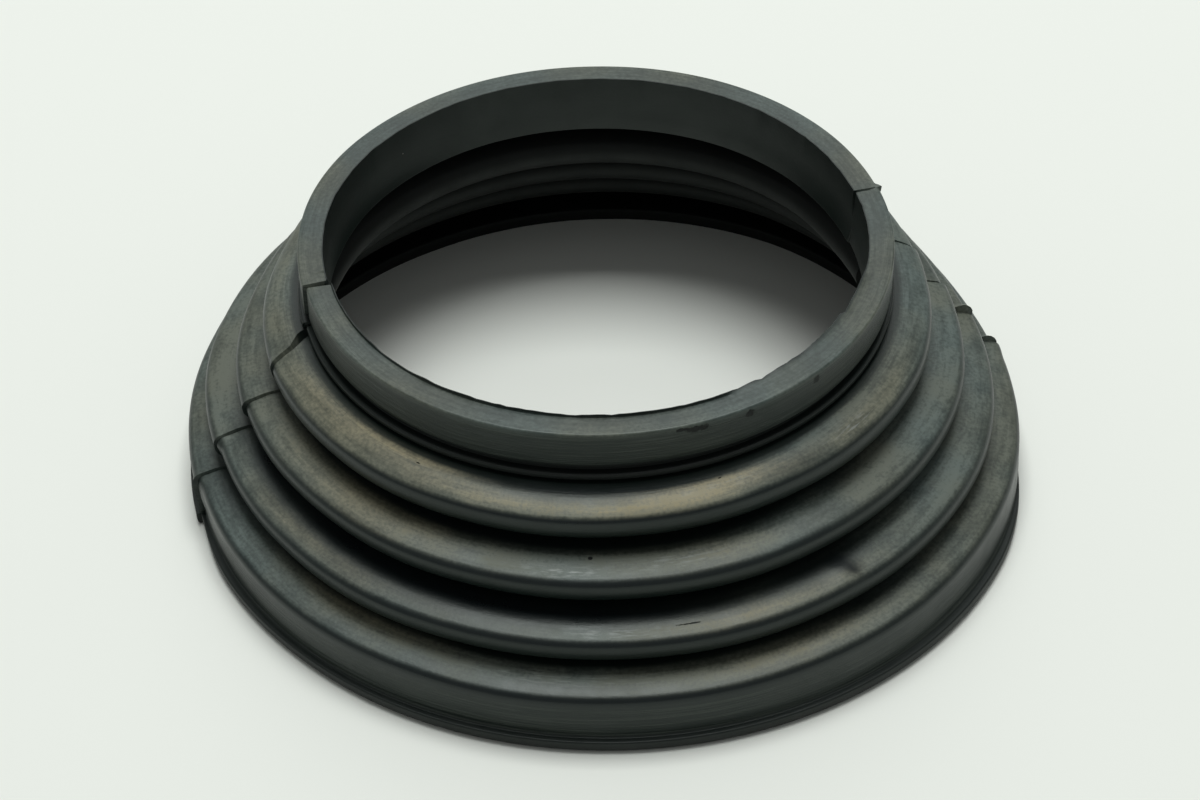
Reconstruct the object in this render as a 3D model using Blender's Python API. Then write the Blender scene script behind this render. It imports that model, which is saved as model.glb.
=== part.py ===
"""Swingarm rubber bellows: one moulded rubber sleeve, a plain collar over four stepped folds on a flanged foot.

The sleeve is a solid of revolution. Its section is drawn once, down the outside and back up the inside,
with every corner rounded by an arc, and then turned about the upright axis.
"""
import math

import bpy

MM = 0.001

# Overall size
HEIGHT = 39.0 * MM
SKIRT_RADIUS = 61.2 * MM

# Foot: a thin flange that stands out past the skirt and a lip that reaches in under it
FLANGE_STAND = 1.3 * MM
FLANGE_THICKNESS = 2.0 * MM
FOOT_LIP = 5.4 * MM

# Collar at the narrow end
COLLAR_RADIUS = 41.6 * MM
COLLAR_WALL = 3.5 * MM
COLLAR_BAND_HEIGHT = 5.6 * MM
BORE_DEPTH = 9.4 * MM
BORE_RELIEF = 1.6 * MM

# Clamp groove, the thin bead under it and the short neck under the bead
GROOVE_WIDTH = 1.5 * MM
GROOVE_DEPTH = 0.9 * MM
BEAD_WIDTH = 1.0 * MM
BEAD_STAND = 0.4 * MM
NECK_HEIGHT = 0.5 * MM
NECK_DEPTH = 0.4 * MM

# Folds, counted from the collar down; the last one stands on the flange as the skirt
FOLD_COUNT = 4
FIRST_CREST_STAND = 6.2 * MM
CREST_STEP = 4.7 * MM
FOLD_PITCH = 6.6 * MM
FOLD_DEPTH = 5.5 * MM
CREST_FACE = 3.3 * MM
SHOULDER_FALL = 1.6 * MM
TREAD_FALL = 1.0 * MM
TREAD_CROWN = 0.7 * MM
FOLD_WALL = 2.1 * MM

# Corner radii
RIM_ROUND = 0.35 * MM
CROWN_ROUND = 12.0 * MM
CREST_ROUND = 1.6 * MM
CREST_FOOT_ROUND = 1.0 * MM
NOSE_ROUND = 1.6 * MM
VALLEY_ROUND = 0.5 * MM
BEAD_ROUND = 0.25 * MM
SHARP = 0.0

# Facets: how many go round, and how far an arc's chord may lie from the arc
TURN_STEPS = 64
CHORD_SAG = 0.15 * MM


def neck_foot():
    """Radius and height where the neck under the bead runs out into the first fold's tread."""
    drop = COLLAR_BAND_HEIGHT + GROOVE_WIDTH + BEAD_WIDTH + NECK_HEIGHT
    return COLLAR_RADIUS - NECK_DEPTH, HEIGHT - drop


def crest(fold):
    """Radius and height of the upper corner of a fold's crest, with fold 0 next to the collar."""
    height = neck_foot()[1] - SHOULDER_FALL - fold * FOLD_PITCH
    if fold == FOLD_COUNT - 1:
        return SKIRT_RADIUS, height
    return COLLAR_RADIUS + FIRST_CREST_STAND + fold * CREST_STEP, height


def valley(fold):
    """Radius and height of the valley's root above a fold, cut in under the crest of the fold before."""
    return crest(fold - 1)[0] - FOLD_DEPTH, crest(fold)[1] + TREAD_FALL


def tread_start(fold):
    """Inner end of a fold's tread: the neck's foot for the first fold, and a valley's root for the rest."""
    return neck_foot() if fold == 0 else valley(fold)


def outer_corners():
    """Corners of the outside from the collar's rim down to the flange, each with its radius of rounding."""
    band_foot = HEIGHT - COLLAR_BAND_HEIGHT
    bead_top = band_foot - GROOVE_WIDTH
    bead_foot = bead_top - BEAD_WIDTH
    groove_radius = COLLAR_RADIUS - GROOVE_DEPTH
    bead_radius = COLLAR_RADIUS + BEAD_STAND
    neck_radius, neck_height = neck_foot()
    corners = [
        (COLLAR_RADIUS, HEIGHT, RIM_ROUND),
        (COLLAR_RADIUS, band_foot, BEAD_ROUND),
        (groove_radius, band_foot, SHARP),
        (groove_radius, bead_top, SHARP),
        (bead_radius, bead_top, BEAD_ROUND),
        (bead_radius, bead_foot, BEAD_ROUND),
        (neck_radius, bead_foot, SHARP),
        (neck_radius, neck_height, SHARP),
    ]
    for fold in range(FOLD_COUNT):
        start_radius, start_height = tread_start(fold)
        radius, height = crest(fold)
        crown_height = (start_height + height) / 2 + TREAD_CROWN
        corners.append(((start_radius + radius) / 2, crown_height, CROWN_ROUND))
        corners.append((radius, height, CREST_ROUND))
        if fold < FOLD_COUNT - 1:
            corners.append((radius, height - CREST_FACE, CREST_FOOT_ROUND))
            corners.append((*valley(fold + 1), VALLEY_ROUND))
    flange_radius = SKIRT_RADIUS + FLANGE_STAND
    corners.append((SKIRT_RADIUS, FLANGE_THICKNESS, VALLEY_ROUND))
    corners.append((flange_radius, FLANGE_THICKNESS, RIM_ROUND))
    corners.append((flange_radius, 0.0, SHARP))
    return corners


def roof_line(fold):
    """Slope and height at the axis of the underside of a fold's tread, one wall square below the tread."""
    start_radius, start_height = tread_start(fold)
    end_radius, end_height = crest(fold)
    slope = (end_height - start_height) / (end_radius - start_radius)
    return slope, end_height - slope * end_radius - FOLD_WALL * math.hypot(1, slope)


def floor_line(fold):
    """Slope and height at the axis of the hollow's floor over a valley, one wall square above its outside."""
    root_radius, root_height = valley(fold)
    crest_radius, crest_height = crest(fold - 1)
    slope = (crest_height - CREST_FACE - root_height) / (crest_radius - root_radius)
    return slope, root_height - slope * root_radius + FOLD_WALL * math.hypot(1, slope)


def inner_corners():
    """Corners of the inside from the foot's lip up to the collar's bore.

    A fold is hollow under its tread. The hollow's roof and its sloping floor meet where the crest has
    become solid rubber, and the floor ends in a rounded nose behind each valley.
    """
    bore_radius = COLLAR_RADIUS - COLLAR_WALL
    relief_radius = bore_radius + BORE_RELIEF
    skirt_inside = SKIRT_RADIUS - FOLD_WALL
    opening_radius = skirt_inside - FOOT_LIP
    last = FOLD_COUNT - 1
    roof_slope, roof_start = roof_line(last)
    corners = [
        (opening_radius, 0.0, SHARP),
        (opening_radius, FLANGE_THICKNESS, RIM_ROUND),
        (skirt_inside, FLANGE_THICKNESS, VALLEY_ROUND),
        (skirt_inside, roof_start + roof_slope * skirt_inside, VALLEY_ROUND),
    ]
    for fold in range(last, 0, -1):
        nose_radius = valley(fold)[0] - FOLD_WALL
        corners.append((nose_radius, roof_start + roof_slope * nose_radius, NOSE_ROUND))
        floor_slope, floor_start = floor_line(fold)
        corners.append((nose_radius, floor_start + floor_slope * nose_radius, NOSE_ROUND))
        roof_slope, roof_start = roof_line(fold - 1)
        reach = (roof_start - floor_start) / (floor_slope - roof_slope)
        corners.append((reach, roof_start + roof_slope * reach, VALLEY_ROUND))
    corners.append((relief_radius, roof_start + roof_slope * relief_radius, SHARP))
    corners.append((bore_radius, HEIGHT - BORE_DEPTH, SHARP))
    corners.append((bore_radius, HEIGHT, RIM_ROUND))
    return corners


def round_corner(before, corner, after):
    """Points of the arc that rounds a corner, running from its first straight side to its second.

    The arc touches both sides, and its radius is cut down where a side is too short to hold it.
    """
    x, z, radius = corner
    if radius == SHARP:
        return [(x, z)]
    to_before = (before[0] - x, before[1] - z)
    to_after = (after[0] - x, after[1] - z)
    length_before = math.hypot(*to_before)
    length_after = math.hypot(*to_after)
    way_before = (to_before[0] / length_before, to_before[1] / length_before)
    way_after = (to_after[0] / length_after, to_after[1] / length_after)
    cosine = way_before[0] * way_after[0] + way_before[1] * way_after[1]
    half_angle = math.acos(max(-1.0, min(1.0, cosine))) / 2
    room = 0.45 * min(length_before, length_after)
    setback = min(radius / math.tan(half_angle), room)
    radius = setback * math.tan(half_angle)
    to_centre = (way_before[0] + way_after[0], way_before[1] + way_after[1])
    centre_length = math.hypot(*to_centre)
    centre_distance = radius / math.sin(half_angle)
    centre_x = x + to_centre[0] / centre_length * centre_distance
    centre_z = z + to_centre[1] / centre_length * centre_distance
    start = math.atan2(z + way_before[1] * setback - centre_z, x + way_before[0] * setback - centre_x)
    end = math.atan2(z + way_after[1] * setback - centre_z, x + way_after[0] * setback - centre_x)
    sweep = (end - start + math.pi) % math.tau - math.pi
    chord_angle = 2 * math.acos(max(0.0, 1 - CHORD_SAG / radius))
    count = max(1, math.ceil(abs(sweep) / chord_angle))
    points = []
    for step in range(count + 1):
        angle = start + sweep * step / count
        points.append((centre_x + radius * math.cos(angle), centre_z + radius * math.sin(angle)))
    return points


def section_points():
    """The closed section with rounded corners, down the outside and back up the inside."""
    corners = outer_corners() + inner_corners()
    points = []
    for index, corner in enumerate(corners):
        before = corners[index - 1]
        after = corners[(index + 1) % len(corners)]
        points.extend(round_corner(before, corner, after))
    return points


def rubber_material():
    """Black moulded rubber, satin from age, with no metallic part."""
    material = bpy.data.materials.new("moulded_black_rubber")
    material.use_nodes = True
    shader = material.node_tree.nodes["Principled BSDF"]
    shader.inputs["Base Color"].default_value = (0.018, 0.019, 0.019, 1.0)
    shader.inputs["Roughness"].default_value = 0.45
    shader.inputs["Metallic"].default_value = 0.0
    return material


def make_bellows():
    """Turn the section about the upright axis into one closed body."""
    points = section_points()
    vertices = [(radius, 0.0, height) for radius, height in points]
    edges = [(index, (index + 1) % len(points)) for index in range(len(points))]
    mesh = bpy.data.meshes.new("rubber_bellows")
    mesh.from_pydata(vertices, edges, [])
    bellows = bpy.data.objects.new("rubber_bellows", mesh)
    bpy.context.scene.collection.objects.link(bellows)
    mesh.materials.append(rubber_material())
    turn = bellows.modifiers.new("turned_section", "SCREW")
    turn.axis = "Z"
    turn.angle = math.tau
    turn.steps = TURN_STEPS
    turn.render_steps = TURN_STEPS
    turn.use_merge_vertices = True
    turn.merge_threshold = 0.00001
    turn.use_smooth_shade = True
    return bellows


def main():
    for old in list(bpy.data.objects):
        bpy.data.objects.remove(old, do_unlink=True)
    make_bellows()


main()
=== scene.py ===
"""Finish of the swingarm rubber bellows: one moulded sleeve of satin black rubber, from a two-part mould."""

import math

import bpy
import numpy as np
from mathutils import Matrix, Vector


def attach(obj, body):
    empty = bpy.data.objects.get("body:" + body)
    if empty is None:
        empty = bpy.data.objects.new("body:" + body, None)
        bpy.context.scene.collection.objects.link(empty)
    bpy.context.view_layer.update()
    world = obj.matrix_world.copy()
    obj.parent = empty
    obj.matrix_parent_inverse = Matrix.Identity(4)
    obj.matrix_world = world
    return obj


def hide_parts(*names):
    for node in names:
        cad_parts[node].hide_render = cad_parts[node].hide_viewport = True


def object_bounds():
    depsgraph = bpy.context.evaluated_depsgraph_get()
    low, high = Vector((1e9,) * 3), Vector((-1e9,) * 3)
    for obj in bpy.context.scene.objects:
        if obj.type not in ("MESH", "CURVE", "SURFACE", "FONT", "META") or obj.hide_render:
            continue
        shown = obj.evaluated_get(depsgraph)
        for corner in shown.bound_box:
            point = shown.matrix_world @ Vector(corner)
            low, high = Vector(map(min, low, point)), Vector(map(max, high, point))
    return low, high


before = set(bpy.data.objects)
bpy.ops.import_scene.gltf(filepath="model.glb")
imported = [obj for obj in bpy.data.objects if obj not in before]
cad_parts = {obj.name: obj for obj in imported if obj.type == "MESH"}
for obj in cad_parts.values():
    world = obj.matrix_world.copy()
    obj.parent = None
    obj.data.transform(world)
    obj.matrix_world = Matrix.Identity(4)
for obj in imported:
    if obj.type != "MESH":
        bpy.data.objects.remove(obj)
cad_low, cad_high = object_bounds()

MM = 0.001

# Overall size, read from the frame
HEIGHT = cad_high.z
FLANGE_RADIUS = cad_high.x

# Foot
FLANGE_STAND = 1.3 * MM
FLANGE_THICKNESS = 2.0 * MM
FOOT_LIP = 5.4 * MM
SKIRT_RADIUS = FLANGE_RADIUS - FLANGE_STAND

# Collar
COLLAR_RADIUS = 41.7 * MM
COLLAR_WALL = 3.6 * MM
COLLAR_BAND_HEIGHT = 5.6 * MM
BORE_DEPTH = 9.4 * MM
BORE_RELIEF = 1.6 * MM

# Clamp groove, bead and neck
GROOVE_WIDTH = 1.5 * MM
GROOVE_DEPTH = 0.9 * MM
BEAD_WIDTH = 1.0 * MM
BEAD_STAND = 0.4 * MM
NECK_HEIGHT = 0.5 * MM
NECK_DEPTH = 0.4 * MM

# Folds
FOLD_COUNT = 4
FIRST_CREST_STAND = 6.1 * MM
CREST_STEP = 4.7 * MM
FOLD_PITCH = 6.6 * MM
FOLD_DEPTH = 5.5 * MM
CREST_FACE = 3.3 * MM
SHOULDER_FALL = 1.6 * MM
TREAD_FALL = 1.0 * MM
TREAD_CROWN = 0.7 * MM
FOLD_WALL = 2.1 * MM

# Corner radii, and the largest share of a side that an arc may take
EDGE_ROUND = 0.12 * MM
RIM_ROUND = 0.3 * MM
CROWN_ROUND = 12.0 * MM
CREST_ROUND = 1.35 * MM
CREST_FOOT_ROUND = 2.4 * MM
NOSE_ROUND = 1.6 * MM
VALLEY_ROUND = 0.45 * MM
BEAD_ROUND = 0.3 * MM
FLANGE_FOOT_ROUND = 1.1 * MM
ARC_SHARE_OF_SIDE = 0.49

# Stations name places along the section: 0 the collar's outer rim, 1 to 5 the four folds, each from its
# tread's inner end over its crest at a half, 5 the flange's foot, then the inside, and 7 the bore's rim.
# Two stations closer than SAME_STATION count as one.
BAND_FOOT_STATION = 0.3
GROOVE_TOP_STATION = 0.35
GROOVE_FOOT_STATION = 0.45
BEAD_TOP_STATION = 0.5
BEAD_FOOT_STATION = 0.6
NECK_TOP_STATION = 0.7
NECK_STATION = 0.8
CROWN_SHARE = 0.25
CREST_SHARE = 0.5
CREST_FOOT_SHARE = 0.75
SKIRT_STATION = 4.55
FLANGE_STATION = 4.8
FLANGE_EDGE_STATION = 4.9
FOOT_STATION = 5.0
LIP_STATION = 5.3
BORE_FOOT_STATION = 6.9
BORE_STATION = 7.0
FILM_STATION = 7.3
LAND_START_STATION = 7.5
LAND_STATION = 7.6
LAST_STATION = 8.0
SAME_STATION = 0.01

# Grid of the sleeve
HALF_COLUMNS = 183
SEAM_CROWDING = 0.5
OUTSIDE_ARC_STEP = math.radians(18)
INSIDE_ARC_STEP = math.radians(36)
OUTSIDE_SPACING = 1.0 * MM
INSIDE_SPACING = 3.0 * MM
SHARP_ANGLE = math.radians(40)

# Averaging of a line between knots: how many samples, and how much the outermost ones lose of their weight
EASE_SAMPLES = 9
EASE_FALL = 0.9

# Mould: how far its rear half stands too high and its front half too low, over what heights above the foot
# that begins, and how far each half of the collar is out of line. Inside, both fade out between two depths
# below the rim.
HALF_DROP = 0.18 * MM
HALF_DROP_HEIGHTS = (3 * MM, 6 * MM)
COLLAR_SHIFT = 0.17 * MM
MISMATCH_DEEP = 5 * MM
MISMATCH_SHALLOW = 1 * MM

# Open seam between the halves at each side: station, azimuth in degrees and width in mm
LEFT_SEAM = np.array([
    (0.0, 193.9, 0.2), (0.3, 193.9, 0.3), (0.8, 193.9, 0.6), (0.95, 194.2, 1.2), (1.07, 195.3, 1.2),
    (1.22, 196.9, 0.35), (1.5, 198.6, 0.15), (1.75, 198.6, 0.12), (2.0, 197.3, 0.12), (2.5, 197.0, 0.15),
    (3.0, 196.1, 0.12), (3.25, 195.5, 0.12), (3.5, 195.9, 0.15), (4.0, 196.0, 0.12), (4.5, 196.0, 0.15),
    (5.0, 196.2, 0.12), (5.3, 194.0, 0.1), (6.9, 194.0, 0.1), (7.0, 193.9, 0.7), (7.6, 193.9, 0.5)])
RIGHT_SEAM = np.array([
    (0.0, 13.9, 0.15), (0.8, 13.9, 0.15), (1.0, 11.4, 0.2), (1.5, 9.9, 0.12), (2.5, 9.9, 0.12),
    (3.5, 10.3, 0.12), (4.5, 10.1, 0.12), (5.0, 10.1, 0.12), (5.3, 13.0, 0.1), (6.9, 13.9, 0.1),
    (7.6, 13.9, 0.12)])
SEAM_DEPTH = 0.25 * MM
SEAM_DEPTH_BY_WIDTH = 0.8
SEAM_EASE = 0.06

# How far the collar and each fold have sagged out of round, in mm along the radius, by azimuth in degrees
REAR_AZIMUTHS = (8, 20, 28, 40, 60, 90, 120, 150, 165, 180, 200)
REAR_SAG = (
    (0.0, 0.0, 0.0, 0.0, 0.0, 0.0, 0.4, 0.7, 0.6, 0.3, 0.1),
    (-0.9, -1.1, -1.0, -0.5, 0.0, 0.0, 0.0, -0.3, -0.7, -0.2, 0.3),
    (-1.2, -1.5, -1.45, -0.65, 0.0, 0.0, 0.0, -0.1, -0.4, 0.0, 0.5),
    (-1.75, -1.9, -1.75, -0.95, 0.0, 0.0, 0.0, 0.5, 0.75, 1.0, 0.6),
    (-2.0, -2.1, -1.75, -0.95, 0.0, 0.0, 0.0, 0.8, 0.2, 0.4, 0.6))
FRONT_AZIMUTHS = (190, 205, 220, 240, 300, 320, 340, 350, 356, 362, 370)
FRONT_SAG = (
    (0.0, 0.0, 0.0, 0.0, 0.0, 0.0, 0.0, 0.0, 0.0, 0.0, 0.0),
    (0.2, 0.1, 0.0, 0.0, 0.0, 0.1, 0.4, 0.1, 0.0, -0.3, -0.4),
    (-0.1, -0.2, -0.2, 0.0, 0.0, 0.1, 0.3, 0.2, -0.1, -0.3, -0.6),
    (0.0, -0.2, -0.2, 0.0, 0.0, 0.0, 0.2, -0.1, -0.35, -0.7, -1.1),
    (-0.2, -0.1, 0.0, 0.1, 0.1, 0.1, -0.1, -0.35, -0.6, -0.9, -1.0))
SAG_EASE = 5.0

# How far the flange stands past the skirt, in mm, by azimuth in degrees
FLANGE_AZIMUTHS = (10, 35, 60, 140, 165, 198, 206, 225, 250, 264, 278, 295, 335, 345, 352)
FLANGE_STANDS = (-0.2, 0.0, 1.0, 1.0, 0.5, 0.7, 1.3, 1.1, 1.25, 1.2, 1.2, 1.2, 1.25, 0.6, -0.2)

# How far the collar's rim, the neck and each fold have sunk, in mm
SUNK = (0.4, 0.0, 0.0, 0.35, 0.35, 0.0)

# How the sleeve leans to one side, in mm, by height in mm, and the tilt of its top
LEAN_HEIGHTS = (0, 30, 33, 39)
LEANS = (0, 1.73, 1.58, 1.58)
TILT = math.radians(0.55)

# Small waves round each fold's edge
WAVE_COUNTS = (3, 5, 8, 13)
WAVE_HEIGHT = 0.035 * MM
WAVE_SEED = 40

# Torn flash at the seams: half, seam, station, its spread, reach along the rim in mm and lift in mm. Its
# ragged edge has a tooth's width, a least height and how much more a tooth can add, as shares of the lift.
TEARS = (
    ("rear", "right", 0.03, 0.06, 1.0, 0.9), ("rear", "right", 3.47, 0.1, 1.6, 1.3),
    ("rear", "right", 4.47, 0.1, 1.2, 1.3), ("front", "right", 4.5, 0.2, 3.0, 0.25),
    ("front", "left", 3.55, 0.1, 1.4, 0.5), ("front", "left", 4.6, 0.12, 2.5, 0.45),
    ("rear", "left", 1.5, 0.12, 1.3, 0.25), ("rear", "left", 4.6, 0.1, 1.0, 0.4))
TEAR_TOOTH_DEGREES = 0.8
TEAR_SEED = 3
TEAR_LEAST = 0.5
TEAR_VARIATION = 0.7

# Small swellings and dents: azimuth in degrees, station, their spreads, and height in mm
SWELLINGS = ((305.6, 3.41, 1.7, 0.08, 0.3), (308.2, 3.41, 1.5, 0.06, -0.1), (314.0, 1.2, 3.0, 0.06, -0.2))

# Thin film of flash left standing on the bore's front rim: azimuth in degrees, height and inward lean in mm
FILM = np.array([
    (190, 0.0, 0.0), (196, 0.4, 0.0), (240, 0.42, 0.05), (285, 0.42, 0.0), (294, 0.4, 0.05),
    (297, 0.3, 0.1), (298, 0.05, 0.3), (300, 0.2, 0.35), (303, 0.25, 0.5), (304, 0.12, 0.2),
    (306, 0.22, 0.45), (328, 0.3, 0.5), (331, 0.3, 0.65), (332, 0.15, 0.2), (336, 0.25, 0.4),
    (344, 0.25, 0.3), (350, 0.0, 0.0)])
FILM_THICKNESS = 0.14 * MM
FILM_LEAST_HEIGHT = 0.1 * MM
RAGGED_HEIGHT = 0.3 * MM
FILM_TOOTH_DEGREES = 1.7
FILM_SEED = 5

# Nibbled edge of the bore at the rear: depth, between which depths below the rim it sets in, between which
# sines of the azimuth the rear part sets in, and its teeth
NIBBLED_DEPTH = 0.14 * MM
NIBBLED_DEEP = 0.6 * MM
NIBBLED_SHALLOW = 0.1 * MM
REAR_PART = (-0.3, 0.3)
NIBBLE_DEGREES = 1.8
NIBBLE_SEED = 11

# Camera, as fitted to the photograph's rims
PHOTO_WIDTH = 1200
FOCAL_PIXELS = 2800
SENSOR_WIDTH = 36
CAMERA_PLACE = (-1.4 * MM, -311.3 * MM, 282.3 * MM)
CAMERA_PITCH = math.radians(41.41)
CAMERA_ROLL = math.radians(-0.749)
NEAREST_SEEN = 0.01

# Light
WORLD_LEVEL = 0.25
TOP_LIGHT_SIZE = 0.75
TOP_LIGHT_HEIGHT = 1.4
TOP_LIGHT_BACK = 0.28
TOP_LIGHT_POWER = 15.3
BACK_LIGHT_SIZE = 1.6
BACK_LIGHT_PLACE = (0.0, 1.9, 1.7)
BACK_LIGHT_POWER = 9.5
FLOOR_SIZE = 4.0

# Where dust and painted light start on a fold, as a share of it: at the sides, how much further out at the
# front, and the front's azimuth and spread in degrees. Nearer the valley than that, the bare rubber is left
# as painted shade at the front.
FIRST_LIT_DUST_START = (0.02, 0.16, 276, 26)
LIT_DUST_START = (0.03, 0.17, 268, 46)
LIT_DUST_BEFORE = 0.04
LIT_DUST_AFTER = 0.14

# Where it ends at the crest and how much of it stays there at the sides, and how far a place must face up.
# Its end leaves a painted shade on the crest's rounding at the front, and what stays at the sides is a
# painted highlight on the crest.
LIT_DUST_END = (0.455, 0.505)
SIDE_CREST_HIGHLIGHT = 0.5
FACING_UP = (0.25, 0.85)
TREAD_LIMIT = 0.8

# How thick dust and painted light lie, from 0 to 1, on the treads, at the sides and on the collar's top, and
# the front's azimuth and spread, outside which a place is at a side
TREAD_DUST_AND_LIGHT = 0.49
SIDE_DUST_AND_LIGHT = 0.2
FRONT = (265, 62)
LAND_DUST_AND_LIGHT = 0.42
RIM_DUST = 0.6
RIM_DUST_SPREAD = 0.015

# Painted shade along the crest's rounding at the front, laid in with the oily patches: share of the fold
# and its spread
FRONT_CREST_SHADE = (0.505, 0.04)

# Painted shade, dark and matt, over the flange's foot and the inside: where it ends below the bore's rim,
# and how thick it lies in the groove at the front, with its azimuth and spread
BORE_SHADE_END = (6.7, 6.95)
GROOVE_SHADE = 0.8
GROOVE_SHADE_FRONT = (268, 50)

# Patches, fold by fold: tan bloom, grey bloom with painted highlights, oil with a painted shadow, and scuffs:
# azimuth in degrees, station, their spreads, and strength
TAN_BLOOM = (
    (287, 1.3, 12, 0.13, 1.0), (272, 1.4, 10, 0.07, 0.5), (234, 1.14, 13, 0.13, 0.7),
    (214, 1.25, 14, 0.2, 0.4), (252, 1.36, 13, 0.09, 0.6), (176, 1.3, 16, 0.2, 0.15),
    (322, 1.36, 22, 0.1, 0.15), (238, 1.1, 12, 0.1, 0.25),
    (228, 2.34, 22, 0.13, 0.35), (292, 2.36, 10, 0.08, 0.2),
    (292, 3.42, 14, 0.06, 0.4), (222, 3.4, 18, 0.07, 0.25),
    (296, 4.36, 14, 0.08, 0.3), (236, 4.25, 16, 0.1, 0.4))
# Grey bloom on the treads, partly painted highlights where they catch the light
GREY_BLOOM_AND_HIGHLIGHTS = (
    (268, 1.41, 20, 0.06, 0.8), (276, 1.42, 10, 0.04, 0.4), (316, 1.12, 14, 0.12, 0.6),
    (236, 1.12, 12, 0.12, 0.5),
    (268, 2.33, 20, 0.11, 0.6), (240, 2.4, 14, 0.08, 0.3), (262, 2.42, 7, 0.03, 0.5),
    (205, 2.3, 12, 0.15, 0.2), (333, 2.3, 25, 0.3, 0.15), (316, 2.2, 14, 0.12, 0.3),
    (290, 3.42, 14, 0.05, 0.3), (271, 3.42, 10, 0.05, 1.0), (180, 3.38, 20, 0.15, 0.3),
    (296, 3.46, 12, 0.03, 0.5), (333, 3.3, 25, 0.3, 0.15),
    (252, 4.27, 20, 0.09, 0.45), (296, 4.38, 16, 0.07, 0.3), (264, 4.33, 26, 0.08, 0.5),
    (316, 4.2, 14, 0.12, 0.3))
# Oil stains, darker and shinier; the two entries at 306.4 and 307.1 degrees on the third fold are a dent's
# painted crescent shadow
OIL_AND_SHADOW = (
    (266, 1.1, 19, 0.11, 0.8), (268, 1.24, 10, 0.07, 0.4), (304, 1.4, 6, 0.12, 0.35),
    (220, 2.14, 26, 0.1, 0.8), (250, 2.17, 20, 0.08, 0.6), (286, 2.18, 18, 0.08, 0.5),
    (314, 2.2, 5, 0.08, 0.4),
    (226, 3.22, 30, 0.14, 0.9), (268, 3.28, 32, 0.12, 0.85), (304, 3.24, 8, 0.12, 0.6),
    (204, 3.2, 6, 0.1, 0.6), (306.4, 3.34, 1.2, 0.05, 0.9), (307.1, 3.41, 1.0, 0.05, 0.9),
    (262, 4.42, 10, 0.05, 0.5), (308, 4.22, 12, 0.12, 0.6), (200, 4.25, 6, 0.15, 0.5),
    (216, 4.14, 20, 0.08, 0.6))
SCUFFS = (
    (292, 1.3, 8, 0.06, 0.4), (318, 1.36, 5, 0.05, 0.6), (264, 2.42, 6, 0.04, 1.0),
    (281, 2.37, 9, 0.05, 0.5), (271, 3.42, 7, 0.04, 1.0), (262, 4.33, 12, 0.05, 0.6))

# Rubber's patterns in space: size in mm, detail and roughness
SPACE_PATTERNS = {"grain": (0.5, 3, 0.5), "mottle": (5, 6, 0.65), "drift": (20, 4, 0.5)}

# Patterns drawn out round the sleeve: cells in a turn and along the section, detail and roughness
DRAWN_PATTERNS = {"streak": (30, 120, 6, 0.7), "turned": (12, 520, 3, 0.7), "scratch": (150, 420, 3, 0.5)}

# Pits: azimuth in degrees, station, and half their length and height in the same units
PITS = (
    (287.8, 0.05, 1.9, 0.022), (284.8, 0.03, 1.0, 0.013), (298.2, 0.06, 0.65, 0.028),
    (313.8, 0.065, 0.6, 0.028), (281.5, 3.39, 1.3, 0.004), (268.0, 2.3, 0.3, 0.01),
    (237.0, 1.22, 0.3, 0.012), (291.0, 1.2, 0.3, 0.01))
NO_PIT_NEAR = 10.0


def neck_foot():
    """Radius and height where the neck under the bead runs out into the first tread."""
    drop = COLLAR_BAND_HEIGHT + GROOVE_WIDTH + BEAD_WIDTH + NECK_HEIGHT
    return COLLAR_RADIUS - NECK_DEPTH, HEIGHT - drop


def crest(fold):
    """Radius and height of the upper corner of a fold's crest, with fold 0 next to the collar."""
    height = neck_foot()[1] - SHOULDER_FALL - fold * FOLD_PITCH
    if fold == FOLD_COUNT - 1:
        return SKIRT_RADIUS, height
    return COLLAR_RADIUS + FIRST_CREST_STAND + fold * CREST_STEP, height


def valley(fold):
    """Radius and height of the valley's root above a fold."""
    return crest(fold - 1)[0] - FOLD_DEPTH, crest(fold)[1] + TREAD_FALL


def tread_start(fold):
    """Inner end of a fold's tread: the neck's foot for the first fold, a valley's root for the rest."""
    return neck_foot() if fold == 0 else valley(fold)


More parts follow.
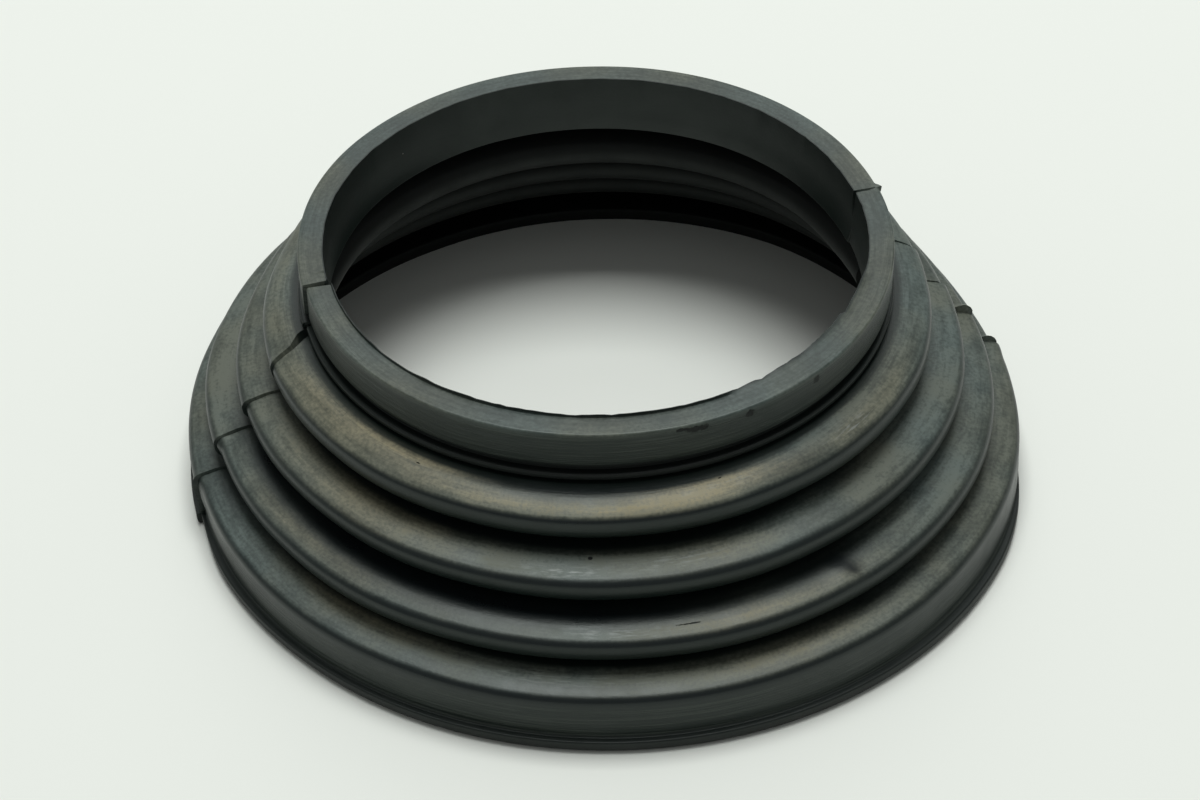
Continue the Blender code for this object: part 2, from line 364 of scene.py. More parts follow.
def outer_corners():
    """Corners of the outside, collar's rim to flange, as radius, height, rounding and station."""
    band_foot = HEIGHT - COLLAR_BAND_HEIGHT
    bead_top = band_foot - GROOVE_WIDTH
    bead_foot = bead_top - BEAD_WIDTH
    groove_radius = COLLAR_RADIUS - GROOVE_DEPTH
    bead_radius = COLLAR_RADIUS + BEAD_STAND
    neck_radius, neck_height = neck_foot()
    corners = [
        (COLLAR_RADIUS, HEIGHT, RIM_ROUND, 0.0),
        (COLLAR_RADIUS, band_foot, EDGE_ROUND, BAND_FOOT_STATION),
        (groove_radius, band_foot, EDGE_ROUND, GROOVE_TOP_STATION),
        (groove_radius, bead_top, EDGE_ROUND, GROOVE_FOOT_STATION),
        (bead_radius, bead_top, BEAD_ROUND, BEAD_TOP_STATION),
        (bead_radius, bead_foot, BEAD_ROUND, BEAD_FOOT_STATION),
        (neck_radius, bead_foot, EDGE_ROUND, NECK_TOP_STATION),
        (neck_radius, neck_height, EDGE_ROUND, NECK_STATION),
    ]
    for fold in range(FOLD_COUNT):
        start_radius, start_height = tread_start(fold)
        radius, height = crest(fold)
        crown_height = (start_height + height) / 2 + TREAD_CROWN
        corners.append(((start_radius + radius) / 2, crown_height, CROWN_ROUND, fold + 1 + CROWN_SHARE))
        corners.append((radius, height, CREST_ROUND, fold + 1 + CREST_SHARE))
        if fold < FOLD_COUNT - 1:
            corners.append((radius, height - CREST_FACE, CREST_FOOT_ROUND, fold + 1 + CREST_FOOT_SHARE))
            corners.append((*valley(fold + 1), VALLEY_ROUND, fold + 2))
    corners.append((SKIRT_RADIUS, FLANGE_THICKNESS, VALLEY_ROUND, FLANGE_STATION))
    corners.append((FLANGE_RADIUS, FLANGE_THICKNESS, RIM_ROUND, FLANGE_EDGE_STATION))
    corners.append((FLANGE_RADIUS, 0.0, FLANGE_FOOT_ROUND, FOOT_STATION))
    return corners


def roof_line(fold):
    """Slope and height at the axis of the underside of a fold's tread, one wall below the tread."""
    start_radius, start_height = tread_start(fold)
    end_radius, end_height = crest(fold)
    slope = (end_height - start_height) / (end_radius - start_radius)
    return slope, end_height - slope * end_radius - FOLD_WALL * math.hypot(1, slope)


def floor_line(fold):
    """Slope and height at the axis of the hollow's floor over a valley, one wall above its outside."""
    root_radius, root_height = valley(fold)
    crest_radius, crest_height = crest(fold - 1)
    slope = (crest_height - CREST_FACE - root_height) / (crest_radius - root_radius)
    return slope, root_height - slope * root_radius + FOLD_WALL * math.hypot(1, slope)


def inner_corners():
    """Corners of the inside from the foot's lip up to the bore's rim, and of the film that stands on it."""
    bore_radius = COLLAR_RADIUS - COLLAR_WALL
    relief_radius = bore_radius + BORE_RELIEF
    skirt_inside = SKIRT_RADIUS - FOLD_WALL
    opening_radius = skirt_inside - FOOT_LIP
    last = FOLD_COUNT - 1
    roof_slope, roof_start = roof_line(last)
    corners = [
        (opening_radius, 0.0, EDGE_ROUND),
        (opening_radius, FLANGE_THICKNESS, RIM_ROUND),
        (skirt_inside, FLANGE_THICKNESS, VALLEY_ROUND),
        (skirt_inside, roof_start + roof_slope * skirt_inside, VALLEY_ROUND),
    ]
    for fold in range(last, 0, -1):
        nose_radius = valley(fold)[0] - FOLD_WALL
        corners.append((nose_radius, roof_start + roof_slope * nose_radius, NOSE_ROUND))
        floor_slope, floor_start = floor_line(fold)
        corners.append((nose_radius, floor_start + floor_slope * nose_radius, NOSE_ROUND))
        roof_slope, roof_start = roof_line(fold - 1)
        reach = (roof_start - floor_start) / (floor_slope - roof_slope)
        corners.append((reach, roof_start + roof_slope * reach, VALLEY_ROUND))
    corners.append((relief_radius, roof_start + roof_slope * relief_radius, EDGE_ROUND))
    corners.append((bore_radius, HEIGHT - BORE_DEPTH, EDGE_ROUND))
    stations = np.linspace(LIP_STATION, BORE_FOOT_STATION, len(corners))
    corners = [(*corner, station) for corner, station in zip(corners, stations)]
    corners.append((bore_radius, HEIGHT, 0, BORE_STATION))
    corners.append((bore_radius + FILM_THICKNESS / 4, HEIGHT, 0, FILM_STATION))
    corners.append((bore_radius + FILM_THICKNESS, HEIGHT, 0, FILM_STATION))
    corners.append((bore_radius + FILM_THICKNESS * 1.3, HEIGHT, 0, LAND_STATION))
    return corners


def rounded_corner(before, corner, after):
    """Points of an arc that touches both sides: centre plus radius times the cosine and sine of the angle."""
    place = np.array(corner[:2])
    if corner[2] == 0:
        return np.array([[*place, corner[3]]])
    sides = np.array([before[:2], after[:2]]) - place
    lengths = np.linalg.norm(sides, axis=1)
    ways = sides / lengths[:, None]
    half_angle = math.acos(np.clip(ways[0] @ ways[1], -1.0, 1.0)) / 2
    setback = min(corner[2] / math.tan(half_angle), ARC_SHARE_OF_SIDE * lengths.min())
    radius = setback * math.tan(half_angle)
    middle = ways.sum(axis=0) / np.linalg.norm(ways.sum(axis=0))
    centre = place + middle * radius / math.sin(half_angle)
    start, end = (math.atan2(*(place + way * setback - centre)[::-1]) for way in ways)
    sweep = (end - start + math.pi) % math.tau - math.pi
    arc_step = OUTSIDE_ARC_STEP if corner[3] <= FOOT_STATION else INSIDE_ARC_STEP
    angles = start + sweep * np.linspace(0, 1, max(2, math.ceil(abs(sweep) / arc_step) + 1))
    arc = centre + radius * np.stack([np.cos(angles), np.sin(angles)], axis=1)
    return np.column_stack([arc, np.full(len(arc), corner[3])])


def section():
    """Closed section as radius, height and station: arcs at the corners, and points along the sides.

    A corner's station holds at the middle of its arc, and between two corners it grows with arc length.
    """
    corners = outer_corners() + inner_corners()
    count = len(corners)
    arcs = [rounded_corner(corners[i - 1], corners[i], corners[(i + 1) % count]) for i in range(count)]
    points = np.concatenate(arcs)
    following = np.roll(points, -1, axis=0)
    following[-1, 2] = LAST_STATION
    steps = np.linalg.norm((following - points)[:, :2], axis=1)
    spacing = np.where(points[:, 2] <= FOOT_STATION, OUTSIDE_SPACING, INSIDE_SPACING)
    parts = np.maximum(1, np.ceil(steps / spacing)).astype(int)
    first = np.repeat(np.arange(len(points)), parts)
    share = np.concatenate([np.arange(part) / part for part in parts])
    length = np.concatenate([[0], np.cumsum(steps)])
    arc_sizes = np.array([len(arc) for arc in arcs])
    arc_ends = np.cumsum(arc_sizes) - 1
    middles = (length[arc_ends - arc_sizes + 1] + length[arc_ends]) / 2
    stations = np.array([corner[3] for corner in corners])
    middles, stations = np.append(middles, length[-1]), np.append(stations, LAST_STATION)
    points = points[first] + share[:, None] * (following[first] - points[first])
    points[:, 2] = np.interp(length[first] + share * steps[first], middles, stations)
    return points


def smooth_step(x, low, high):
    """0 below low and 1 above high, with a smooth cubic between: 3 t squared minus 2 t cubed."""
    t = np.clip((x - low) / (high - low), 0.0, 1.0)
    return t * t * (3 - 2 * t)


def bump(x, middle, spread):
    """A smooth hill of height 1 at the middle: e to the minus square of the distance over the spread."""
    return np.exp(-((x - middle) / spread) ** 2)


def eased(x, knots, values, spread, period=None):
    """Values joined by straight lines between their knots, averaged over a spread so that no kink is left."""
    taps = np.linspace(-1, 1, EASE_SAMPLES)
    weights = 1 - np.abs(taps) * EASE_FALL
    joined = [weight * np.interp(x + tap * spread, knots, values, period=period)
              for tap, weight in zip(taps, weights)]
    return np.sum(joined, axis=0) / weights.sum()


def patches(azimuth, station, table):
    """Soft patches: for each a hill over azimuth times a hill over station, summed and at most 1."""
    total = np.zeros(azimuth.shape)
    for middle, place, spread, depth, strength in table:
        total += strength * bump(azimuth, middle, spread) * bump(station, place, depth)
    return np.clip(total, 0, 1)


def ragged(azimuth, spacing, seed):
    """A torn line's height from 0 to 1: random values at even steps of azimuth, joined by straight lines."""
    count = round(360 / spacing)
    values = np.random.default_rng(seed).uniform(0, 1, count)
    return np.interp(azimuth, np.arange(count) * spacing, values, period=360)


def fold_shares(height):
    """How much a height belongs to the collar and to each fold, and how far it has sunk with them."""
    neck_height = neck_foot()[1]
    levels = [HEIGHT, neck_height]
    owners = [0, 0]
    for fold in range(FOLD_COUNT):
        top = crest(fold)[1]
        foot = top - CREST_FACE if fold < FOLD_COUNT - 1 else 0.0
        levels += [top, foot]
        owners += [fold + 1, fold + 1]
    levels, owners = np.array(levels[::-1]), np.array(owners[::-1])
    shares = [np.interp(height, levels, (owners == owner).astype(float))
              for owner in range(FOLD_COUNT + 1)]
    sunk = np.interp(height, levels, np.array([SUNK[0], SUNK[1], *np.repeat(SUNK[2:], 2)])[::-1])
    return np.array(shares), sunk * MM


def seam_at(seam, station):
    """A seam's azimuth in radians and half its width in metres, along the section's stations."""
    azimuth = eased(station, seam[:, 0], seam[:, 1], SEAM_EASE, LAST_STATION)
    width = eased(station, seam[:, 0], seam[:, 2], SEAM_EASE, LAST_STATION)
    return np.radians(azimuth), width / 2 * MM


def seam_normal(points):
    """The section's outward normal, square to the line through a point's neighbours, as radius and height."""
    tangent = np.roll(points[:, :2], -1, axis=0) - np.roll(points[:, :2], 1, axis=0)
    normal = np.stack([-tangent[:, 1], tangent[:, 0]], axis=1)
    return normal / np.linalg.norm(normal, axis=1)[:, None]


def half_columns(station, radius, half):
    """Azimuths of a half's columns in radians, closer together at the seams, and those of its two edges.

    Column t lies at t less SEAM_CROWDING times the sine of a turn of t, over a turn, of the way across.
    """
    left, left_gap = seam_at(LEFT_SEAM, station)
    right, right_gap = seam_at(RIGHT_SEAM, station)
    if half == "rear":
        start, start_gap, end, end_gap = right, right_gap, left, left_gap
    else:
        start, start_gap, end, end_gap = left, left_gap, right + math.tau, right_gap
    start = start + start_gap / radius
    end = end - end_gap / radius
    t = np.linspace(0, 1, HALF_COLUMNS)
    share = t - SEAM_CROWDING * np.sin(math.tau * t) / math.tau
    return start + share[:, None] * (end - start), start, end


def out_of_round(azimuth, points, outside, half):
    """How far each point has moved along the radius: its fold's sag and, on the outside, small waves.

    A wave is its height times the sine of its count times the azimuth plus a phase of the fold's own.
    """
    knots, sags = (REAR_AZIMUTHS, REAR_SAG) if half == "rear" else (FRONT_AZIMUTHS, FRONT_SAG)
    shares, _ = fold_shares(points[:, 1])
    wavy = outside * smooth_step(points[:, 1], FLANGE_THICKNESS, 2 * FLANGE_THICKNESS)
    moved = np.zeros_like(azimuth)
    for owner, sag in enumerate(sags):
        moved += shares[owner] * eased(np.degrees(azimuth), knots, sag, SAG_EASE) * MM
        phases = np.random.default_rng(WAVE_SEED + owner).uniform(0, math.tau, len(WAVE_COUNTS))
        for count, phase in zip(WAVE_COUNTS, phases):
            moved += shares[owner] * WAVE_HEIGHT * wavy * np.sin(count * azimuth + phase) * (owner > 0)
    return moved


def bore_edge(degrees, station, height):
    """Change of radius and height at the bore's edge: nibbled at the rear, a ragged film at the front."""
    rim = smooth_step(height, HEIGHT - NIBBLED_DEEP, HEIGHT - NIBBLED_SHALLOW)
    rim = rim * (station > BORE_FOOT_STATION) * (station < LAND_STATION + SAME_STATION)
    rear_part = smooth_step(np.sin(np.radians(degrees)), *REAR_PART)
    nibbled = rim * rear_part * NIBBLED_DEPTH * ragged(degrees, NIBBLE_DEGREES, NIBBLE_SEED) ** 2
    film = (np.abs(station - FILM_STATION) < SAME_STATION).astype(float)
    film_height = np.interp(degrees, FILM[:, 0], FILM[:, 1]) * MM
    film_lean = np.interp(degrees, FILM[:, 0], FILM[:, 2]) * MM
    teeth = RAGGED_HEIGHT * (ragged(degrees, FILM_TOOTH_DEGREES, FILM_SEED) - 0.5)
    return nibbled - film * film_lean, film * (film_height + teeth * (film_height > FILM_LEAST_HEIGHT))


def lifted(azimuth, start, end, points, half):
    """How far each point stands off along the normal: torn flash at the seams, swellings and dents."""
    station = points[:, 2]
    degrees = np.degrees(azimuth)
    seams = ("right", "left") if half == "rear" else ("left", "right")
    rough = TEAR_LEAST + TEAR_VARIATION * ragged(degrees, TEAR_TOOTH_DEGREES, TEAR_SEED)
    lift = np.zeros_like(azimuth)
    for torn_half, seam, torn_station, spread, reach, torn_lift in TEARS:
        if torn_half == half:
            edge = start if seam == seams[0] else end
            fade = 1 - smooth_step(np.abs(azimuth - edge) * points[:, 0], 0, reach * MM)
            lift += bump(station, torn_station, spread) * fade * rough * torn_lift * MM
    for middle, place, spread, depth, rise in SWELLINGS:
        lift += bump(degrees, middle, spread) * bump(station, place, depth) * rise * MM
    return lift


def half_grid(points, normal, outside, half):
    """One mould half: each point of the section carried from one seam round to the other.

    The radius takes the flange's uneven stand, sag, waves and the bore's nibbled edge, the height takes the
    fold's sinking and the half's own step, and torn flash, swellings and dents lie along the normal.
    """
    azimuth, start, end = half_columns(points[:, 2], points[:, 0], half)
    degrees = np.degrees(azimuth)
    radius = points[:, 0] * np.ones((HALF_COLUMNS, 1))
    height = points[:, 1] * np.ones((HALF_COLUMNS, 1))
    stand = eased(degrees, FLANGE_AZIMUTHS, FLANGE_STANDS, SAG_EASE, 360) * MM / FLANGE_STAND
    radius -= np.maximum(radius - SKIRT_RADIUS, 0) * (1 - stand)
    radius += out_of_round(azimuth, points, outside, half)
    outward, upward = bore_edge(degrees, points[:, 2], height)
    lift = lifted(azimuth, start, end, points, half) * outside
    radius += outward + lift * normal[:, 0]
    height += upward + lift * normal[:, 1]

    shares, sunk = fold_shares(points[:, 1])
    side = -1 if half == "rear" else 1
    x = radius * np.cos(azimuth) + side * COLLAR_SHIFT * outside * shares[0]
    y = radius * np.sin(azimuth)
    z = height - sunk - side * HALF_DROP * outside * smooth_step(height, *HALF_DROP_HEIGHTS)
    return np.stack([x, y, z], axis=-1), degrees


def make_sleeve():
    """The whole sleeve as a closed grid: two mould halves, with a sunk seam column at each side."""
    points = section()
    normal = seam_normal(points)
    station = points[:, 2]
    near_rim = smooth_step(points[:, 1], HEIGHT - MISMATCH_DEEP, HEIGHT - MISMATCH_SHALLOW)
    outside = np.where(station <= FOOT_STATION, 1.0, near_rim)
    rear, rear_azimuth = half_grid(points, normal, outside, "rear")
    front, front_azimuth = half_grid(points, normal, outside, "front")
    grids, azimuths = [], []
    for seam, before, after, azimuth in ((LEFT_SEAM, rear, front, rear_azimuth[-1]),
                                         (RIGHT_SEAM, front, rear, front_azimuth[-1])):
        turn, half_width = seam_at(seam, station)
        out = np.stack([normal[:, 0] * np.cos(turn), normal[:, 0] * np.sin(turn), normal[:, 1]], axis=1)
        depth = (SEAM_DEPTH + SEAM_DEPTH_BY_WIDTH * 2 * half_width) * outside
        grids += [before, ((before[-1] + after[0]) / 2 - out * depth[:, None])[None]]
        azimuths += [rear_azimuth if before is rear else front_azimuth, azimuth[None]]
    grid = np.concatenate(grids)
    azimuths = np.concatenate(azimuths)
    lean = np.interp(grid[..., 2], np.array(LEAN_HEIGHTS) * MM, np.array(LEANS) * MM)
    grid[..., 2] += TILT * smooth_step(grid[..., 2], 0, HEIGHT) * grid[..., 0]
    grid[..., 0] -= lean
    grid[..., 2] = np.clip(grid[..., 2], 0, HEIGHT)
    return grid, azimuths, points, normal


def finish_maps(azimuth, station, up):
    """Where dust with painted light, tan bloom, oil with painted shade, turned lines, scuffs and painted
    shade lie, from 0 to 1, by place on the sleeve.

    Dust and painted top light lie on what faces up, from past each valley to the crest; how near the valley
    they start depends on how far round to the front the place is, which leaves the tread by the valley dark
    as painted shade at the front. The crest's rounding is left dark as painted shade at the front, and at the
    sides keeps part as a painted highlight. Patches add to it, and oil takes it away. The flange's foot, the
    inside and the groove at the front take a dark, matt painted shade.
    """
    turn = azimuth % 360
    share = np.where((station >= 1) & (station < FLANGE_STATION), station % 1, 1.0)
    first, others = (near + further * bump(turn, middle, spread)
                     for near, further, middle, spread in (FIRST_LIT_DUST_START, LIT_DUST_START))
    start = np.where(station < 2, first, others)
    side = 1 - bump(turn, *FRONT)
    # At the front the crest's rounding is left bare as painted shade; at the sides part of the layer stays on
    # it as a painted highlight
    crest_shading = 1 - smooth_step(share, *LIT_DUST_END) * (1 - SIDE_CREST_HIGHLIGHT * side)
    past_valley = smooth_step(share, start - LIT_DUST_BEFORE, start + LIT_DUST_AFTER)
    # Dust and painted top light lie on the lit tread: facing up, past the valley, short of the crest
    tread = smooth_step(up, *FACING_UP) * past_valley * crest_shading * (share < TREAD_LIMIT)
    tan = patches(turn, station, TAN_BLOOM) * tread
    oil_and_shade = patches(turn, station, OIL_AND_SHADOW)
    # Dust and painted light, more at the sides, with grey bloom and painted highlights, less under oil and
    # the dent's painted shadow
    dust_and_light = tread * (TREAD_DUST_AND_LIGHT + SIDE_DUST_AND_LIGHT * side + patches(turn, station, GREY_BLOOM_AND_HIGHLIGHTS)) * (1 - oil_and_shade)
    # The collar's flat top takes dust and painted top light evenly
    dust_and_light = np.where(station > LAND_START_STATION, LAND_DUST_AND_LIGHT, np.clip(dust_and_light, 0, 1))
    dust_and_light = np.where(station < 1, RIM_DUST * bump(station, 0.0, RIM_DUST_SPREAD), dust_and_light)
    on_skirt = (station > SKIRT_STATION) & (station < FLANGE_STATION)
    wall = ((station < BAND_FOOT_STATION) | on_skirt).astype(float)
    # Painted shade on the crest's rounding at the front, laid in with the oily patches
    front_crest_shade = bump(share, *FRONT_CREST_SHADE) * (1 - side)
    # Painted shade, dark and matt, over the flange's foot and the inside up to below the bore's rim, and in
    # the groove at the front
    painted_shade = smooth_step(station, FLANGE_STATION, FOOT_STATION) * (1 - smooth_step(station, *BORE_SHADE_END))
    in_groove = (station > GROOVE_TOP_STATION) * (station < NECK_STATION)
    painted_shade += GROOVE_SHADE * bump(turn, *GROOVE_SHADE_FRONT) * in_groove
    return {"dust_and_light": dust_and_light, "tan": tan, "oil_and_shade": np.maximum(oil_and_shade, front_crest_shade), "wall": wall,
            "scuffed": patches(turn, station, SCUFFS), "painted_shade": painted_shade}


def grid_object(name, grid, azimuth, station, maps, material):
    """A mesh from a grid of points that closes on itself both ways, with faces between neighbours.

    Its UV map holds the azimuth as a share of a turn and the station as a share of the section.
    """
    rows, cols = grid.shape[:2]
    index = np.arange(rows * cols).reshape(rows, cols)
    across = np.roll(index, -1, axis=0)
    faces = np.stack([index, np.roll(index, -1, axis=1), np.roll(across, -1, axis=1), across], axis=-1)
    mesh = bpy.data.meshes.new(name)
    mesh.from_pydata(grid.reshape(-1, 3), [], faces.reshape(-1, 4).tolist())
    turn = np.concatenate([azimuth, azimuth[:1] + 360]) / 360
    turn = np.column_stack([turn, turn[:, 0]])
    down = np.append(station, LAST_STATION) / LAST_STATION * np.ones((rows + 1, 1))
    corners = np.stack([turn, down], axis=-1)
    uv = np.stack([corners[:-1, :-1], corners[:-1, 1:], corners[1:, 1:], corners[1:, :-1]], axis=2)
    mesh.uv_layers.new(name="round_and_down").data.foreach_set("uv", uv.ravel())
    for map_name, values in maps.items():
        mesh.attributes.new(map_name, "FLOAT", "POINT").data.foreach_set("value", values.ravel())
    mesh.shade_smooth()
    mesh.set_sharp_from_angle(angle=SHARP_ANGLE)
    mesh.materials.append(material)
    made = bpy.data.objects.new(name, mesh)
    bpy.context.scene.collection.objects.link(made)
    return made


def linear(hex_colour):
    """A colour written as an sRGB hex value, as linear red, green, blue and 1."""
    parts = [int(hex_colour[i:i + 2], 16) / 255 for i in (1, 3, 5)]
    return tuple(p / 12.92 if p <= 0.04045 else ((p + 0.055) / 1.055) ** 2.4 for p in parts) + (1.0,)


def add_node(tree, kind, inputs=None, **settings):
    """Add a node. A setting is one of its own values; an input takes a value or another node's socket."""
    added = tree.nodes.new(kind)
    for name, value in settings.items():
        setattr(added, name, value)
    for name, value in (inputs or {}).items():
        if isinstance(value, bpy.types.NodeSocket):
            tree.links.new(value, added.inputs[name])
        else:
            added.inputs[name].default_value = value
    return added


def rubber_patterns(tree, place, round_and_down):
    """The rubber's noises by name: three that lie in space and three drawn out round the sleeve."""
    patterns = {}
    for name, (size, detail, roughness) in SPACE_PATTERNS.items():
        noise = add_node(tree, "ShaderNodeTexNoise", {
            "Vector": place, "Scale": 1 / (size * MM), "Detail": detail, "Roughness": roughness})
        patterns[name] = noise.outputs["Fac"]
    for name, (around, down, detail, roughness) in DRAWN_PATTERNS.items():
        drawn = add_node(tree, "ShaderNodeMapping", {"Vector": round_and_down, "Scale": (around, down, 1)})
        noise = add_node(tree, "ShaderNodeTexNoise", {
            "Vector": drawn.outputs["Vector"], "Scale": 1, "Detail": detail, "Roughness": roughness})
        patterns[name] = noise.outputs["Fac"]
    return patterns


def speck_mask(tree, place):
    """White specks of dust, 0.28 mm across, in a quarter of the cells of 8 mm."""
    cells = add_node(tree, "ShaderNodeTexVoronoi", {"Vector": place, "Scale": 120})
    near = add_node(tree, "ShaderNodeMath", {0: cells.outputs["Distance"], 1: 0.017}, operation="LESS_THAN")
    chosen = add_node(tree, "ShaderNodeMath", {0: cells.outputs["Color"], 1: 0.25}, operation="LESS_THAN")
    return add_node(tree, "ShaderNodeMath", {0: near.outputs["Value"], 1: chosen.outputs["Value"]},
                    operation="MULTIPLY").outputs["Value"]


def pit_mask(tree, round_and_down, grain):
    """Pits: the nearest one's distance, in its own half length and height, made ragged by the grain."""
    distance = NO_PIT_NEAR
    for azimuth, station, length, height in PITS:
        centred = add_node(tree, "ShaderNodeMapping", {
            "Vector": round_and_down, "Scale": (360 / length, LAST_STATION / height, 1),
            "Location": (-azimuth / length, -station / height, 0)})
        away = add_node(tree, "ShaderNodeVectorMath", {0: centred.outputs["Vector"]}, operation="LENGTH")
        distance = add_node(tree, "ShaderNodeMath", {0: away.outputs["Value"], 1: distance},
                            operation="MINIMUM").outputs["Value"]
    distance = add_node(tree, "ShaderNodeMath", {0: grain, 1: 2.0, 2: distance}, operation="MULTIPLY_ADD")
    return add_node(tree, "ShaderNodeMapRange", {
        "Value": distance.outputs["Value"], "From Min": 1.9, "From Max": 2.4,
        "To Min": 1.0, "To Max": 0.0}).outputs["Result"]


def moulded_rubber():
    """Black carbon-filled rubber, compression moulded in a two-part steel mould, then years of service.

    To the eye: a satin greenish black with a fine grain, turned lines from the mould on the plain bands, thin
    grey dust and brown bloom that have dried in streaks on the treads, with painted light on the lit treads
    and the collar's top, darker places that oil has wetted, painted shade on the front crests and a dent's
    painted shadow, and a dark, matt painted shade inside, in the groove and at the foot.
    """
    material = bpy.data.materials.new("moulded_black_rubber")
    material.use_nodes = True
    tree = material.node_tree
    shader = tree.nodes["Principled BSDF"]
    place = add_node(tree, "ShaderNodeTexCoord").outputs["Object"]
    round_and_down = add_node(tree, "ShaderNodeUVMap", uv_map="round_and_down").outputs["UV"]
    maps = {name: add_node(tree, "ShaderNodeAttribute", attribute_name=name).outputs["Fac"]
            for name in ("dust_and_light", "tan", "oil_and_shade", "wall", "scuffed", "painted_shade")}
    patterns = rubber_patterns(tree, place, round_and_down)
    pit = pit_mask(tree, round_and_down, patterns["grain"])

    # How thick the dust and painted light lie: its map, broken up by each pattern in turn; its tint drifts
    # warmer and cooler
    dust_and_light, tan = maps["dust_and_light"], maps["tan"]
    for name, low, high in (("mottle", 0.72, 1.28), ("streak", 0.58, 1.42), ("grain", 0.7, 1.3)):
        factor = add_node(tree, "ShaderNodeMapRange", {
            "Value": patterns[name], "From Min": 0.32, "From Max": 0.68, "To Min": low, "To Max": high})
        factor = factor.outputs["Result"]
        dust_and_light = add_node(tree, "ShaderNodeMath", {0: dust_and_light, 1: factor}, operation="MULTIPLY").outputs["Value"]
        tan = add_node(tree, "ShaderNodeMath", {0: tan, 1: factor}, operation="MULTIPLY").outputs["Value"]
    drift = add_node(tree, "ShaderNodeMapRange", {
        "Value": patterns["drift"], "From Min": 0.4, "From Max": 0.6})
    dust_and_light_tint = add_node(tree, "ShaderNodeMix", {
        0: drift.outputs["Result"], 6: linear("#5a6662"), 7: linear("#61665b")}, data_type="RGBA").outputs[2]

    # Scuffs: fine pale scratches where a patch and a fine streak meet
    scratch = add_node(tree, "ShaderNodeMapRange", {
        "Value": patterns["scratch"], "From Min": 0.5, "From Max": 0.66}).outputs["Result"]
    scratch = add_node(tree, "ShaderNodeMath", {0: scratch, 1: maps["scuffed"]}, operation="MULTIPLY")
    scratch = scratch.outputs["Value"]

    # Lines turned in the mould's steel, about 0.25 mm apart, show as faint paler rings on the plain bands
    rings = add_node(tree, "ShaderNodeMapRange", {
        "Value": patterns["turned"], "From Min": 0.45, "From Max": 0.65, "To Max": 0.5}).outputs["Result"]
    rings = add_node(tree, "ShaderNodeMath", {0: rings, 1: maps["wall"]}, operation="MULTIPLY")
    rings = rings.outputs["Value"]

    # Colour: the bare rubber, then each layer over it, none of them quite opaque
    colour = linear("#111a17")
    # Turned lines, then dust with painted light on the treads and the collar's top, tan bloom and scratches
    for amount, tint in ((rings, linear("#454b44")), (dust_and_light, dust_and_light_tint), (tan, linear("#938b6d")),
                         (scratch, linear("#8c928e"))):
        factor = add_node(tree, "ShaderNodeMath", {0: amount, 1: 0.9}, operation="MINIMUM").outputs["Value"]
        colour = add_node(tree, "ShaderNodeMix", {0: factor, 6: colour, 7: tint}, data_type="RGBA").outputs[2]
    # Oil with the painted shade on the front crests and a dent's painted shadow, then the dark painted shade
    # inside, in the groove and at the foot
    for amount, tint in ((maps["oil_and_shade"], "#12171a"), (maps["painted_shade"], "#0b0c0c")):
        factor = add_node(tree, "ShaderNodeMath", {0: amount, 1: 0.85}, operation="MULTIPLY").outputs["Value"]
        colour = add_node(tree, "ShaderNodeMix", {0: factor, 6: colour, 7: linear(tint)}, data_type="RGBA")
        colour = colour.outputs[2]
    for amount, tint in ((speck_mask(tree, place), "#a4a69e"), (pit, "#0c0d0d")):
        colour = add_node(tree, "ShaderNodeMix", {0: amount, 6: colour, 7: linear(tint)}, data_type="RGBA")
        colour = colour.outputs[2]
    tree.links.new(colour, shader.inputs["Base Color"])

    # Gloss: satin, uneven with the mottling, duller under dust and painted light, painted shade and pits,
    # shinier where oiled and on the painted crest shade
    rough = add_node(tree, "ShaderNodeMapRange", {
        "Value": patterns["mottle"], "From Min": 0.3, "From Max": 0.7, "To Min": 0.32, "To Max": 0.42})
    rough = rough.outputs["Result"]
    for amount, change in ((dust_and_light, 0.12), (maps["oil_and_shade"], -0.08), (maps["painted_shade"], 0.25), (pit, 0.3)):
        rough = add_node(tree, "ShaderNodeMath", {0: amount, 1: change, 2: rough}, operation="MULTIPLY_ADD")
        rough = rough.outputs["Value"]
    tree.links.new(rough, shader.inputs["Roughness"])
    shader.inputs["Specular Tint"].default_value = (0.92, 1.0, 0.96, 1.0)
    shader.inputs["IOR"].default_value = 1.43

    # Relief, in units of 15 microns: grain and streaks all over, the mould's turned lines, and the pits
    relief = patterns["grain"]
    for amount, change in ((rings, 2.5), (patterns["streak"], 2.0), (pit, -5.0)):
        relief = add_node(tree, "ShaderNodeMath", {0: amount, 1: change, 2: relief}, operation="MULTIPLY_ADD")
        relief = relief.outputs["Value"]
    relief = add_node(tree, "ShaderNodeBump", {"Height": relief, "Strength": 1.0, "Distance": 0.015 * MM})
    tree.links.new(relief.outputs["Normal"], shader.inputs["Normal"])
    return material


def floor_material():
    """Plain pale floor, matt."""
    material = bpy.data.materials.new("pale_matt_floor")
    material.use_nodes = True
    shader = material.node_tree.nodes["Principled BSDF"]
    shader.inputs["Base Color"].default_value = linear("#e9eee7")
    shader.inputs["Roughness"].default_value = 0.8
    shader.inputs["Specular IOR Level"].default_value = 0.2
    return material


def make_floor():
    """A flat square under the sleeve, which isn't part of it."""
    half = FLOOR_SIZE / 2
    mesh = bpy.data.meshes.new("floor")
    corners = [(-half, -half, 0), (half, -half, 0), (half, half, 0), (-half, half, 0)]
    mesh.from_pydata(corners, [], [(0, 1, 2, 3)])
    mesh.materials.append(floor_material())
    floor = bpy.data.objects.new("floor", mesh)
    bpy.context.scene.collection.objects.link(floor)


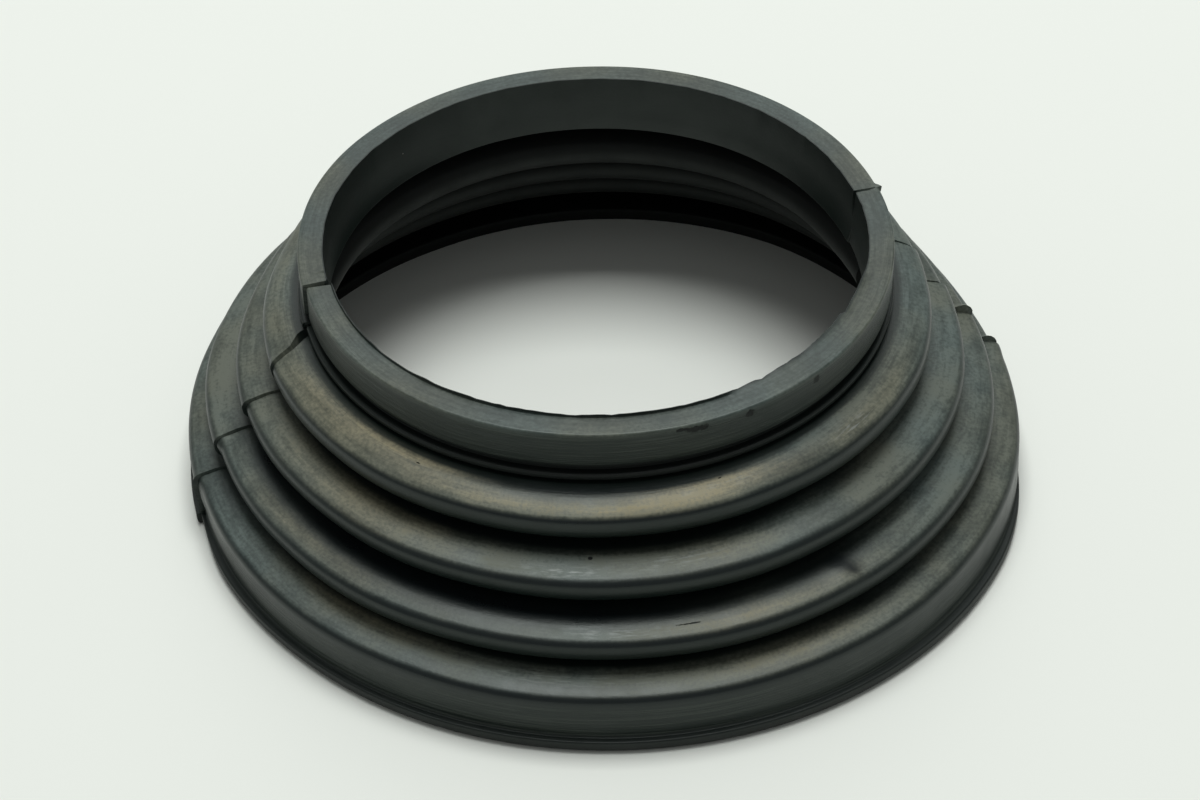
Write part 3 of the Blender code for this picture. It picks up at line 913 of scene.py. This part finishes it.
def make_camera():
    """The camera at the photograph's angle: pitched down, then rolled about its own line of sight."""
    pitch, roll = CAMERA_PITCH, CAMERA_ROLL
    ahead = Vector((0, math.cos(pitch), -math.sin(pitch)))
    level_up = Vector((0, math.sin(pitch), math.cos(pitch)))
    right = Vector((1, 0, 0)) * math.cos(roll) + level_up * math.sin(roll)
    up = level_up * math.cos(roll) - Vector((1, 0, 0)) * math.sin(roll)
    data = bpy.data.cameras.new("camera")
    data.sensor_width = SENSOR_WIDTH
    data.lens = SENSOR_WIDTH * FOCAL_PIXELS / PHOTO_WIDTH
    data.clip_start = NEAREST_SEEN
    camera = bpy.data.objects.new("camera", data)
    turn = Matrix((right, up, -ahead)).transposed().to_4x4()
    camera.matrix_world = Matrix.Translation(CAMERA_PLACE) @ turn
    bpy.context.scene.collection.objects.link(camera)
    bpy.context.scene.camera = camera


def area_light(name, place, size, power):
    """A square soft light that faces the sleeve."""
    data = bpy.data.lights.new(name, "AREA")
    data.shape = "SQUARE"
    data.size = size
    data.energy = power
    light = bpy.data.objects.new(name, data)
    light.location = place
    light.rotation_euler = (-Vector(place)).to_track_quat("-Z", "Y").to_euler()
    bpy.context.scene.collection.objects.link(light)


def make_light():
    """A soft light overhead, a weaker one behind, and a dim even surround."""
    area_light("top_light", (0, TOP_LIGHT_BACK, TOP_LIGHT_HEIGHT), TOP_LIGHT_SIZE, TOP_LIGHT_POWER)
    area_light("back_light", BACK_LIGHT_PLACE, BACK_LIGHT_SIZE, BACK_LIGHT_POWER)
    world = bpy.data.worlds.new("surround")
    world.use_nodes = True
    world.node_tree.nodes["Background"].inputs["Strength"].default_value = WORLD_LEVEL
    world.node_tree.nodes["Background"].inputs["Color"].default_value = (1, 1, 1, 1)
    bpy.context.scene.world = world


bpy.context.scene.view_settings.view_transform = "Standard"
sleeve_grid, sleeve_azimuth, sleeve_section, sleeve_normal = make_sleeve()
sleeve_maps = finish_maps(sleeve_azimuth, sleeve_section[:, 2] * np.ones_like(sleeve_azimuth),
                          sleeve_normal[:, 1] * np.ones_like(sleeve_azimuth))
sleeve = grid_object("moulded_sleeve", sleeve_grid, sleeve_azimuth, sleeve_section[:, 2], sleeve_maps,
                     moulded_rubber())
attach(sleeve, "root")
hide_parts("rubber_bellows")
make_floor()
make_camera()
make_light()
